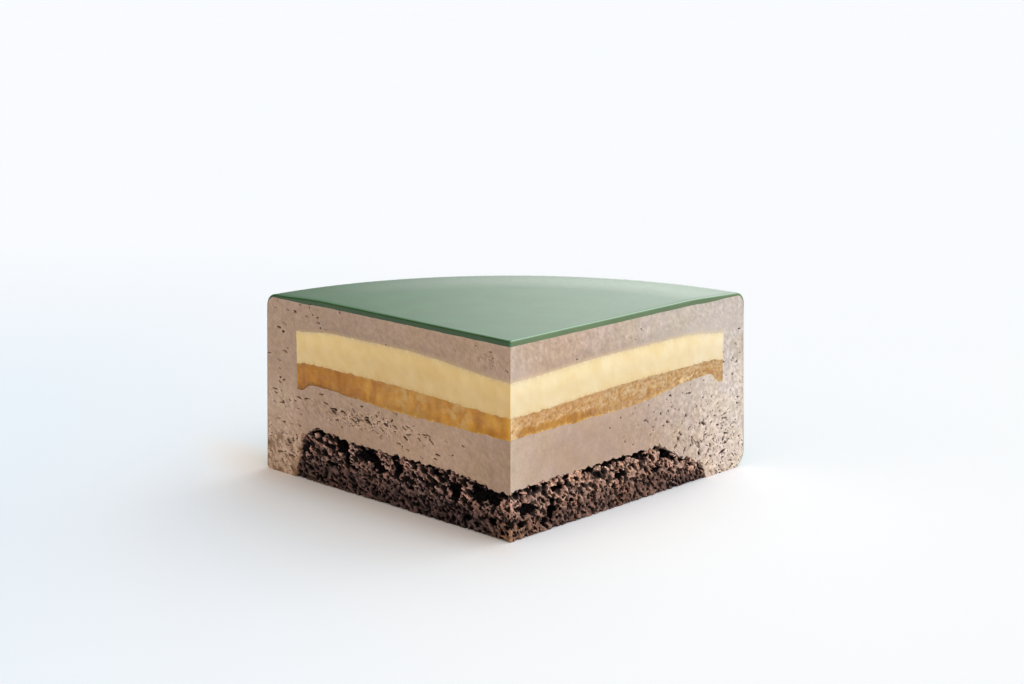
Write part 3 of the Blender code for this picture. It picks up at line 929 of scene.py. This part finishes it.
def crumbField(face, u, d, z):
    # how deep each place lies in the crumb, how coarse the crumb is and how high the sponge stands there
    swing = np.arctan2(np.maximum(d, 0), np.maximum(u, 1e-6)) / cake["sector"]
    turn = 1 - swing if face else swing
    x, y = atTurn(np.hypot(u, d), turn)
    flake = crumbSpot(face, u, d, z)
    under = np.minimum(u, d)
    top = spongeTop(np.minimum(np.hypot(u, d) / topRadius(turn), 1), turn)
    level = np.clip(z / top, 0, 1)
    coarse = rise(level, 0.25, 0.70) * (0.75 + 0.35 * waves((x, y, z), 5 * mm, seed=74))
    walls = crumbWalls(flake, coarse)
    grit, length = sponge["grit"]
    rough = between(*sponge["crumbRelief"], coarse) * (1 - crumbTone(flake))
    rough = np.maximum(rough + grit * waves(flake, length, seed=76), 0)
    body = np.minimum.reduce([
        under - rough,
        top - z,
        z - 0.6 * rough * fall(under, 0, 0.9 * mm),
        spongeReach(level, turn) - np.hypot(u, d),
        sponge["crumbDepth"] - d,
        u - d + 0.4 * sponge["voxel"],
    ])
    pores = walls + sponge["poreClosing"] * np.maximum(0, under - sponge["poreDepth"])
    holes = spongeHoles(face, u, d, z, (x, y, z))
    holes = holes - np.clip(walls, -0.15 * mm, 0.30 * mm)  # crumbs stand out from the holes' walls
    core = rise(under, 0.25 * mm, 0.75 * mm) * fall(np.hypot(u, d), 2.2 * mm, 3.6 * mm)
    holes = holes - 1.5 * mm * core  # no hole goes right through the tip
    return np.minimum.reduce([body, pores, -holes]), coarse, top


def crumbMarks(face, field, top, coarse, z, points, local, spot):
    # looks of the crumb's surface, at the points of its mesh
    solid = np.clip(field / sponge["voxel"] + 0.5, 0, 1).astype(np.float32)
    covered = np.where(z > top - sponge["voxel"], face, 0)  # on the left the mousse lies close over the crumb
    covered = np.maximum(solid, covered).astype(np.float32)
    cell = tuple(np.clip(np.rint(points).astype(int), 0, np.array(solid.shape) - 1).T)
    flake, out = crumbSpot(face, *local.T), local[:, 0]
    # painted light: the crumb paler on the right face, and far out on the left
    if face:
        pale = 0.20 * rise(out, 30 * mm, 60 * mm)
    else:
        pale = 0.40 + 0.55 * rise(out, 3 * mm, 22 * mm) - 0.42 * rise(out, 48 * mm, 58 * mm)
    return {
        # for painted highlights on thin edges and painted shade in cracks, hollows and far in
        "near": blurred(solid, 1)[cell],
        "wide": blurred(covered, 4)[cell],
        "sunk": np.minimum(out, local[:, 1]) / mm,
        "tone": crumbTone(flake),
        "pale": pale,
        "crack": fall(crumbWalls(flake, coarse[cell]), -0.01 * mm, 0.06 * mm),
        "patch": waves(spot, 4 * mm, seed=77, octaves=2),
        "coarse": coarse[cell],
        # lighter brown near the tip's foot
        "tipFootBrown": bulge(out, 0, (5 if face else 8) * mm) * bulge(local[:, 2], 0, 6 * mm),
    }


def makeCrumb(face):
    voxel, deep = sponge["voxel"], sponge["crumbDepth"]
    ends = (sponge["radius"][face] + 1.2 * mm, deep + 2 * voxel, sponge["crumbHeight"])
    u, d, z = np.meshgrid(*[np.arange(-2 * voxel, end, voxel) for end in ends], indexing="ij")
    field, coarse, top = crumbField(face, u, d, z)

    grid = openvdb.FloatGrid(1.0)
    grid.copyFromArray(np.ascontiguousarray(-field / voxel, np.float32))
    points, quads = grid.convertToQuads(isovalue=0.0)
    quads = mainBody(points, quads)
    local = points.astype(float) * voxel - 2 * voxel
    sunk = np.minimum(local[:, 0], local[:, 1])
    quads = quads[sunk[quads].min(axis=1) < deep - 1.5 * voxel]  # nothing is seen of the back
    if not face:
        quads = quads[:, ::-1]
    swing = np.arctan2(local[:, 1], local[:, 0]) / cake["sector"]
    x, y = atTurn(np.hypot(local[:, 0], local[:, 1]), 1 - swing if face else swing)
    world = np.stack([x, y + cake["tip"], local[:, 2]], axis=1)
    marks = crumbMarks(face, field, top, coarse, z, points, local, (x, y, local[:, 2]))

    inner = local[quads, 0].mean(axis=1) < sponge["crumbJoin"]
    side = "Left" if face else "Right"
    pieces = []
    for part, wanted in (("Inner", inner), ("Outer", ~inner)):
        used, numbers = np.unique(quads[wanted], return_inverse=True)
        mesh = bpy.data.meshes.new("spongeCrumb" + side + part)
        mesh.from_pydata(world[used].tolist(), [], numbers.reshape(-1, 4).tolist())
        mesh.validate()
        own = {mark: values[used] for mark, values in marks.items()}
        pieces.append(finishPiece(mesh.name, mesh, own, smoothBelow=180))
    return pieces


def makeHeart():
    heart = sponge["heart"]
    columns, rows = heart["columns"], heart["rows"]
    inset = (sponge["crumbDepth"] - heart["overlap"]) * math.sqrt(2)

    def place(column, row, turn):
        share = column / columns
        top = spongeTop(share * heart["reach"], turn) - heart["gap"]
        return (spongeReach(row / rows, turn) - inset - heart["gap"]) * share, top * row / rows

    piece = sweptPiece("spongeHeart", columns, rows, place)
    piece.data.transform(Matrix.Translation((0, inset, 0)))
    return piece


# Shaders


class Signal:
    # a socket in a shader, on which Python's operators add nodes
    def __init__(self, tree, socket):
        self.tree, self.socket = tree, socket

    def isNumber(self):
        return self.socket.type in ("VALUE", "INT")

    def join(self, operation, first, second):
        sides, kind = [first, second], "ShaderNodeMath"
        if any(isinstance(side, Signal) and not side.isNumber() for side in sides):
            sides = [side if isinstance(side, (Signal, tuple)) else (side,) * 3 for side in sides]
            kind = "ShaderNodeVectorMath"
        return self.tree.node(kind, {"operation": operation}, dict(enumerate(sides)))

    def __add__(self, other):
        return self.join("ADD", self, other)

    def __radd__(self, other):
        return self.join("ADD", other, self)

    def __sub__(self, other):
        return self.join("SUBTRACT", self, other)

    def __rsub__(self, other):
        return self.join("SUBTRACT", other, self)

    def __mul__(self, other):
        return self.join("MULTIPLY", self, other)

    def __rmul__(self, other):
        return self.join("MULTIPLY", other, self)

    def __truediv__(self, other):
        return self.join("DIVIDE", self, other)

    def __rtruediv__(self, other):
        return self.join("DIVIDE", other, self)

    def ramp(self, start, end, low=0.0, high=1.0):
        settings = {"interpolation_type": "SMOOTHSTEP"}
        values = {"Value": self, "From Min": start, "From Max": end, "To Min": low, "To Max": high}
        return self.tree.node("ShaderNodeMapRange", settings, values)

    def mix(self, low, high):
        # from colour low at 0 to colour high at 1
        settings = {"data_type": "RGBA", "clamp_factor": True}
        return self.tree.node("ShaderNodeMix", settings, {"Factor": self, "A": low, "B": high}, "Result")

    def vary(self, colour, low, high):
        # the colour times low at 0 and times high at 1
        return self.mix(colour * low, colour * high)


class Shader:
    # one node tree, of a material or of the world
    def __init__(self, owner):
        owner.use_nodes = True
        self.nodes, self.links = owner.node_tree.nodes, owner.node_tree.links
        self.nodes.clear()
        self.owner = owner

    def node(self, kind, settings=None, values=None, output=0):
        made = self.nodes.new(kind)
        for key, value in (settings or {}).items():
            setattr(made, key, value)
        for key, value in (values or {}).items():
            self.feed(self.inputOf(made, key), value)
        if isinstance(output, str):
            return Signal(self, [out for out in made.outputs if out.name == output and out.enabled][0])
        return Signal(self, made.outputs[output]) if made.outputs else None

    def inputOf(self, made, key):
        if isinstance(key, int):
            return made.inputs[key]
        return [socket for socket in made.inputs if socket.name == key and socket.enabled][0]

    def feed(self, socket, value):
        if isinstance(value, Signal):
            self.links.new(value.socket, socket)
        elif socket.type == "RGBA" and len(value) == 3:
            socket.default_value = (*value, 1.0)
        else:
            socket.default_value = value

    def place(self):
        return self.node("ShaderNodeTexCoord", output="Object")

    def axes(self, vector):
        return [self.node("ShaderNodeSeparateXYZ", None, {"Vector": vector}, axis) for axis in "XYZ"]

    def noise(self, size, detail=2.0, rough=0.5, stretch=(1, 1, 1), seed=0.0):
        spot = self.place() * stretch + (seed, seed * 0.7, seed * 1.3)
        values = {"Vector": spot, "Scale": 1 / size, "Detail": detail, "Roughness": rough}
        return self.node("ShaderNodeTexNoise", None, values)

    def cells(self, size, flake):
        # cells drawn out along a line that runs down to the right, more steeply on the right face
        x, y, z = self.axes(self.place())
        cosine, sine = x.ramp(-mm, mm, 0.98, 0.60), x.ramp(-mm, mm, 0.18, 0.80)
        along, across = (x * cosine - z * sine) / flake, x * sine + z * cosine
        spot = self.node("ShaderNodeCombineXYZ", None, {"X": along, "Y": y, "Z": across})
        return self.node("ShaderNodeTexVoronoi", None, {"Vector": spot, "Scale": 1 / size}, "Distance")

    def mark(self, name):
        return self.node("ShaderNodeAttribute", {"attribute_name": name}, output="Fac")

    def tint(self, colour, tints):
        # times a mark's own tint, as far as the mark goes
        for mark, by in tints.items():
            colour = self.mark(mark).mix(colour, colour * by)
        return colour

    def paint(self, colour, paints):
        # over to a mark's own colour, as far as the mark goes
        for mark, own in paints.items():
            colour = self.mark(mark).mix(colour, own)
        return colour

    def bump(self, height, distance, strength=1.0, under=None):
        values = {"Height": height, "Distance": distance, "Strength": strength}
        if under is not None:
            values["Normal"] = under
        return self.node("ShaderNodeBump", None, values)

    def surface(self, **values):
        named = {key.replace("_", " "): value for key, value in values.items()}
        shader = self.node("ShaderNodeBsdfPrincipled", None, named)
        self.node("ShaderNodeOutputMaterial", None, {"Surface": shader})
        return self.owner


def newShader(name):
    return Shader(bpy.data.materials.new(name))


# Materials. Tints multiply the colour where the mark of that name is 1, and paints take its place there.
# A pair of colours or of tints is for low and high values of what it goes with.

greenLooks = {
    "glaze": ((0.047, 0.150, 0.056), (0.056, 0.172, 0.066)),
    # the cut side: painted shade on the left and painted light on the right, over the glaze's own deeper
    # green
    "tints": {"leftSide": (0.42, 0.42, 0.10), "rightSide": (2.13, 1.10, 1.23)},
    "paints": {
        # a painted highlight line on the glaze's right top edge
        "crest": (0.31, 0.47, 0.30),
        # the wall's skin at the cut faces: painted shade on the left, a painted reflection high up on the
        # right
        "leftWall": (0.075, 0.060, 0.042),
        "rightWall": (0.56, 0.50, 0.42),
    },
    "roughness": (0.09, 0.15),
}


def greenGlaze():
    m = newShader("greenMirrorGlaze")
    colour = m.noise(9 * mm, detail=3).ramp(0.35, 0.65).mix(*greenLooks["glaze"])
    colour = m.paint(m.tint(colour, greenLooks["tints"]), greenLooks["paints"])
    fine = m.noise(1.2 * mm, detail=4, stretch=(1, 0.35, 1))
    wave = m.bump(m.noise(6 * mm, detail=1), 0.02 * mm, 0.5)
    return m.surface(
        Base_Color=colour,
        Roughness=fine.ramp(0.3, 0.7, *greenLooks["roughness"]),
        IOR=1.5,
        Normal=m.bump(fine, 0.01 * mm, 0.4, wave),
    )


cocoaLooks = {
    "mousse": ((0.530, 0.348, 0.226), (0.545, 0.364, 0.262)),
    "clouds": (0.95, 1.04),
    "tints": {
        # painted light: the right face paler towards its lit outer top
        "pale": (1.08, 1.38, 1.72),
        "brown": (0.84, 0.82, 0.82),
        # painted shade in the ridges' troughs
        "ridge": (0.58, 0.49, 0.38),
        # painted light: cooler and lighter at the right face's tip edge and low on the outer left
        "cool": (1.04, 1.16, 1.26),
    },
    "flakes": ((0.82, 0.81, 0.79), (1.17, 1.18, 1.20)),
    "grit": (0.93, 1.06),
    "smear": (0.92, 1.05),
    "cream": (0.78, 0.56, 0.30),
    "creamStain": 0.45,
    "pitSize": 0.70 * mm,
    "slitSize": 0.55 * mm,
    # painted highlights on the pits' lips, and painted shade in small pits and in pits
    "lip": (1.28, 1.31, 1.34),
    "smallPitShade": (0.085, 0.040, 0.024),
    "pit": ((0.050, 0.024, 0.015), (0.034, 0.015, 0.010)),  # on the left and on the right
    "roughness": (0.48, 0.62),
}


def cocoaMousse():
    m = newShader("milkChocolateMousse")
    look = cocoaLooks
    fine = m.noise(0.6 * mm, detail=3, rough=0.6)
    airy, slitty = m.mark("airy"), m.mark("slit")
    colour = m.noise(6 * mm, detail=4).ramp(0.3, 0.7).mix(*look["mousse"])
    colour = m.noise(2.6 * mm, detail=3, seed=0.3).ramp(0.35, 0.65).vary(colour, *look["clouds"])
    # times the painted light and shade of each face
    colour = m.tint(colour, look["tints"]) * m.mark("shade")
    colour = m.mark("flaky").ramp(-0.6, 0.6).vary(colour, *look["flakes"])
    colour = fine.ramp(0.3, 0.7).vary(colour, *look["grit"])
    colour = m.mark("smear").ramp(-0.6, 0.6).vary(colour, *look["smear"])
    colour = (m.mark("cream") * look["creamStain"]).mix(colour, look["cream"])
    # small pits and slits: how far each place is from the middle of its cell, 1 at the pit's edge; they get
    # painted shade inside and painted highlights round their rims
    jitter = (m.noise(0.35 * mm, detail=2) - 0.5) * 0.30
    many = m.noise(1.8 * mm, detail=1, seed=0.1).ramp(0.35, 0.65)
    small = (m.cells(look["pitSize"], 2.0) + jitter) / (airy * (0.06 + 0.16 * many) + 0.01)
    thin = (m.cells(look["slitSize"], 4.5) + jitter * 0.5) / (slitty * (0.09 + 0.24 * many) + 0.01)
    hole, slit = [away.ramp(0.85, 1.10, 1.0, 0.0) for away in (small, thin)]
    hole = hole * 0.75
    ring, edge = [away.ramp(1.1, 1.4) * away.ramp(1.5, 2.1, 1.0, 0.0) for away in (small, thin)]
    lip = m.mark("lip") + ring * airy * 0.6 + edge * slitty * 0.9
    colour = lip.mix(colour, colour * look["lip"])
    colour = (hole + slit * 0.9).mix(colour, look["smallPitShade"])
    colour = m.mark("pit").ramp(0.15, 0.75).mix(colour, m.mark("right").mix(*look["pit"]))
    grit = m.bump(m.noise(0.30 * mm, detail=3), 0.07 * mm, 0.5)
    soft = m.bump(m.noise(1.4 * mm, detail=3), 0.14 * mm, 0.4, grit)
    return m.surface(
        Base_Color=colour,
        Roughness=fine.ramp(0.3, 0.7, *look["roughness"]),
        IOR=1.40,
        Normal=m.bump(1 - (hole + slit), 0.20 * mm, 0.8, soft),
        Subsurface_Weight=0.08,
        Subsurface_Radius=(1.0, 0.55, 0.35),
        Subsurface_Scale=1.0 * mm,
    )


creamLooks = {
    "cream": ((0.88, 0.600, 0.240), (0.91, 0.650, 0.298)),
    "streaks": ((0.98, 0.96, 0.93), (1.01, 1.02, 1.04)),
    # painted light: the right face cooler, and lighter on the left's outer part and at the right face's ends
    "tints": {"right": (0.95, 1.07, 1.40), "outer": (1.08, 1.10, 1.14), "ends": (1.02, 1.06, 1.20)},
    "height": (0.96, (1.04, 1.05, 1.04)),
    "paints": {"warm": (0.86, 0.50, 0.16)},
    "stains": {"edge": (0.65, (0.56, 0.41, 0.29)), "foot": (0.70, (0.66, 0.38, 0.12))},
    "roughness": (0.36, 0.50),
}


def yellowCream():
    m = newShader("yellowCream")
    look = creamLooks
    colour = m.noise(5 * mm, detail=3).ramp(0.3, 0.7).mix(*look["cream"])
    colour = m.mark("streak").ramp(-0.7, 0.7).vary(colour, *look["streaks"])
    colour = m.tint(colour, look["tints"])
    colour = m.mark("level").ramp(0.35, 0.80).vary(colour, *look["height"])
    colour = m.paint(colour, look["paints"])
    blot = m.noise(0.7 * mm, detail=3, seed=0.2)
    for mark, (share, stain) in look["stains"].items():
        colour = (m.mark(mark) * blot.ramp(0.30, 0.65) * share).mix(colour, stain)
    return m.surface(
        Base_Color=colour,
        Roughness=blot.ramp(0.3, 0.7, *look["roughness"]),
        IOR=1.40,
        Normal=m.bump(blot, 0.05 * mm, 0.35),
        Subsurface_Weight=0.12,
        Subsurface_Radius=(1.0, 0.7, 0.35),
        Subsurface_Scale=1.5 * mm,
    )


orangeLooks = {
    "fruit": ((0.46, 0.185, 0.014), (0.56, 0.262, 0.028)),
    "streaks": ((0.86, 0.80, 0.66), (1.14, 1.22, 1.50)),
    "cloudy": (0.60, 0.36, 0.115),
    # painted light and shade: the right face darker and cooler, the left lighter and warmer
    "faces": ((0.88, 0.88, 1.05), (1.10, 1.05, 0.95)),  # right and left
    "rosy": ((0.50, 0.270, 0.095), (0.55, 0.340, 0.170)),
    "rosyOutwards": ((1.04, 0.97, 0.82), (1.04, 1.10, 1.12)),
    "tints": {"outer": (0.92, 0.81, 0.36)},
    "low": ((0.86, 0.80, 0.78), (0.82, 0.73, 0.44)),  # right and left
    "sunk": ((1.08, 1.10, 1.15), (0.80, 0.72, 0.58)),
    "specks": ((0.66, 0.36, 0.055), (0.92, 0.70, 0.40)),
    "border": (0.20, 0.065, 0.014),
    "lump": (0.36, 0.175, 0.030),
    # painted highlight on wet wrinkles
    "glint": (0.86, 0.60, 0.30),
    # painted glow of light through the thin tip
    "glow": (0.94, 0.44, 0.012),
    "fine": (0.97, 1.10),
    "roughness": (0.30, 0.50),
    "coat": (0.04, 0.6),
}


def orangeCompote():
    m = newShader("orangeFruitCompote")
    look = orangeLooks
    left, glint = m.mark("left"), m.mark("glint")
    colour = m.noise(3.0 * mm, detail=3).ramp(0.35, 0.65).mix(*look["fruit"])
    colour = m.mark("streak").ramp(-0.6, 0.7).vary(colour, *look["streaks"])
    clouds = m.mark("cloudy") * m.noise(2.4 * mm, detail=2, seed=0.5).ramp(0.38, 0.58)
    colour = left.vary(clouds.mix(colour, look["cloudy"]), *look["faces"])
    rosy = m.noise(1.8 * mm, detail=3, seed=0.8).ramp(0.38, 0.62).mix(*look["rosy"])
    colour = m.mark("upper").mix(colour, m.mark("far").vary(rosy, *look["rosyOutwards"]))
    colour = m.tint(colour, look["tints"])
    colour = m.mark("low").mix(colour, colour * left.mix(*look["low"]))
    colour = m.mark("sunk").vary(colour, *look["sunk"])
    specks = m.noise(0.55 * mm, detail=1, seed=0.4).ramp(0.56, 0.66)
    colour = m.mark("thin").mix(colour, specks.mix(*look["specks"]))
    colour = m.mark("border").mix(colour, look["border"])
    colour = (m.mark("lump") * 0.8).mix(colour, look["lump"])
    colour = glint.mix(colour, look["glint"])
    colour = m.mark("glow").mix(colour, look["glow"])
    fine = m.noise(0.45 * mm, detail=3).ramp(0.35, 0.65) * 0.5
    return m.surface(
        Base_Color=fine.vary(colour, *look["fine"]),
        Roughness=m.mark("rolling").ramp(0.2, 0.8, *look["roughness"]),
        IOR=1.36,
        Normal=m.bump(m.noise(0.6 * mm, detail=2, seed=3.0), 0.08 * mm, 0.6),
        Coat_Weight=glint.ramp(0.1, 0.6, *look["coat"]),
        Coat_Roughness=0.10,
        Subsurface_Weight=0.08,
        Subsurface_Radius=(1.0, 0.4, 0.12),
        Subsurface_Scale=1.5 * mm,
    )


crumbLooks = {
    "dark": ((0.044, 0.028, 0.026), (0.205, 0.130, 0.108)),
    # the crumb's colours where it is painted pale as lit
    "pale": ((0.105, 0.062, 0.048), (0.340, 0.222, 0.172)),
    # tints low and high in the sponge, each for dark crumb and for crumb painted pale as lit
    "low": ((0.72, 0.70, 0.78), (0.82, 0.70, 0.67)),
    "high": ((3.20, 3.00, 2.90), (2.30, 2.15, 2.05)),
    "grain": (0.60, 1.30),
    "patches": ((0.97, 1.0, 1.02), (1.05, 0.98, 0.92)),
    "tipFootBrown": (0.42, 0.215, 0.110),
    # painted highlight on thin edges, and painted shade far in
    "edges": 1.7,
    "hollowShade": (0.006, 0.004, 0.004),
    "roughness": (0.45, 0.80),
}


def chocolateCrumb():
    m = newShader("chocolateCrumb")
    look = crumbLooks
    tone, pale, coarse = m.mark("tone"), m.mark("pale"), m.mark("coarse")
    colour = pale.mix(tone.mix(*look["dark"]), tone.mix(*look["pale"]))
    colour = coarse.mix(colour * pale.mix(*look["low"]), colour * pale.mix(*look["high"]))
    grain = m.noise(0.30 * mm, detail=3, rough=0.7)
    colour = grain.ramp(0.36, 0.64).vary(colour, *look["grain"])
    colour = m.mark("patch").ramp(-0.5, 0.6).vary(colour, *look["patches"])
    colour = (m.mark("tipFootBrown") * tone * 0.8).mix(colour, look["tipFootBrown"])
    # painted highlights on thin edges, painted shade in pores, in hollows and far in
    colour = m.mark("near").ramp(0.20, 0.45).mix(colour * look["edges"], colour)
    colour = m.mark("crack").mix(colour, colour * (pale * 0.16 + coarse * 0.04 + 0.06))
    colour = m.mark("wide").ramp(0.50, 0.80).mix(colour, colour * (pale * 0.26 + 0.40))
    colour = m.mark("sunk").ramp(0.45, 1.10).mix(colour, look["hollowShade"])
    fine = m.noise(0.22 * mm, detail=2)
    return m.surface(
        Base_Color=colour,
        Roughness=fine.ramp(0.35, 0.65, *look["roughness"]),
        IOR=1.34,
        Specular_IOR_Level=0.15,
        Normal=m.bump(fine, 0.06 * mm, 0.6),
    )


# Stage, light and camera

stage = {
    "floorSize": 14.0,
    "floor": ((0.84, 0.90, 0.95), (0.96, 0.965, 0.965)),  # to the left and to the right
    "floorBehind": (0.965, 0.97, 0.975),
    # painted light in front of the left cut face, a warm bounce close in: from where to where it fades out,
    # and its colour
    "floorBesideBounce": ((10 * mm, 30 * mm, (0.97, 0.97, 0.965)), (0.0, 13 * mm, (0.95, 0.87, 0.81))),
    # colours of the sky, low down, half way up and high up: front left, front right, back left, back right
    "low": ((0.30, 0.22, 0.14), (1.65, 1.65, 1.65), (0.10, 0.11, 0.10), (1.30, 1.37, 1.31)),
    "middle": ((0.62, 0.53, 0.41), (0.86, 0.90, 0.94), (0.05, 0.05, 0.05), (2.26, 2.26, 2.30)),
    "high": ((0.34, 0.30, 0.26), (1.80, 1.92, 2.08), (0.34, 0.30, 0.26), (1.80, 1.92, 2.08)),
}
view = {
    "azimuth": -1.034,
    "elevation": 18.801,
    "distance": 407.43 * mm,
    "pitch": 12.761,
    "yaw": -0.05,
    "lens": 66.893,
}


def makeStage():
    form = bmesh.new()
    bmesh.ops.create_grid(form, x_segments=8, y_segments=8, size=stage["floorSize"] / 2)
    mesh = bpy.data.meshes.new("floor")
    form.to_mesh(mesh)
    form.free()
    floor = bpy.data.objects.new("floor", mesh)
    bpy.context.scene.collection.objects.link(floor)
    m = newShader("paleFloor")
    sideways, away = m.axes(m.place())[:2]
    colour = sideways.ramp(-0.15, 0.01).mix(*stage["floor"])
    beside = (sideways + (away - cake["tip"])) * -math.sqrt(0.5)  # how far in front of the left cut face
    along = sideways.ramp(-82 * mm, -60 * mm) * sideways.ramp(-6 * mm, 4 * mm, 1.0, 0.0)
    along = along * beside.ramp(-14 * mm, -2 * mm)
    # painted warm bounce light close to the left cut face, and a painted lighter floor a little further out
    for start, end, glow in stage["floorBesideBounce"]:
        colour = (beside.ramp(start, end, 1.0, 0.0) * along).mix(colour, glow)
    colour = away.ramp(0.02, 0.36).mix(colour, stage["floorBehind"])
    colour = m.noise(0.12).ramp(0.3, 0.7).mix(colour * 0.995, colour)
    mesh.materials.append(m.surface(Base_Color=colour, Roughness=0.8, Specular_IOR_Level=0.0))


def makeLight():
    world = bpy.data.worlds.new("studio")
    bpy.context.scene.world = world
    w = Shader(world)
    aim = w.node("ShaderNodeTexCoord", output="Generated")
    right, back, up = w.axes(aim)
    behind = back.ramp(-0.1, 0.5)
    soft = right.ramp(-0.6, 0.6)

    def band(height, sharp):
        frontLeft, frontRight, backLeft, backRight = stage[height]
        return behind.mix(soft.mix(frontLeft, frontRight), sharp.mix(backLeft, backRight))

    colour = up.ramp(0.28, 0.42).mix(band("low", right.ramp(-0.19, 0.14)), band("middle", soft))
    colour = up.ramp(0.55, 0.85).mix(colour, band("high", soft))
    sky = w.node("ShaderNodeBackground", None, {"Color": colour})
    w.node("ShaderNodeOutputWorld", None, {"Surface": sky})


def makeCamera():
    azimuth, elevation = math.radians(view["azimuth"]), math.radians(view["elevation"])
    data = bpy.data.cameras.new("camera")
    data.lens = view["lens"]
    data.clip_start = 0.01
    camera = bpy.data.objects.new("camera", data)
    bpy.context.scene.collection.objects.link(camera)
    camera.location = (
        view["distance"] * math.sin(azimuth) * math.cos(elevation),
        cake["tip"] - view["distance"] * math.cos(azimuth) * math.cos(elevation),
        view["distance"] * math.sin(elevation),
    )
    camera.rotation_euler = (math.radians(90 - view["pitch"]), 0, azimuth + math.radians(view["yaw"]))
    bpy.context.scene.camera = camera


def dress(piece, node, material):
    piece.data.materials.append(material)
    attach(piece, "root")
    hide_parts(node)


dress(makeGlaze(), "glaze", greenGlaze())
dress(makeMousse(), "mousse", cocoaMousse())
dress(makeCream(), "cream", yellowCream())
dress(makeCompote(), "compote", orangeCompote())
crumbMaterial = chocolateCrumb()
for piece in (*makeCrumb(0), *makeCrumb(1), makeHeart()):
    dress(piece, "sponge", crumbMaterial)
print("pieces made")

makeStage()
makeLight()
makeCamera()
bpy.context.scene.view_settings.view_transform = "Standard"
print("stage, light and camera set")
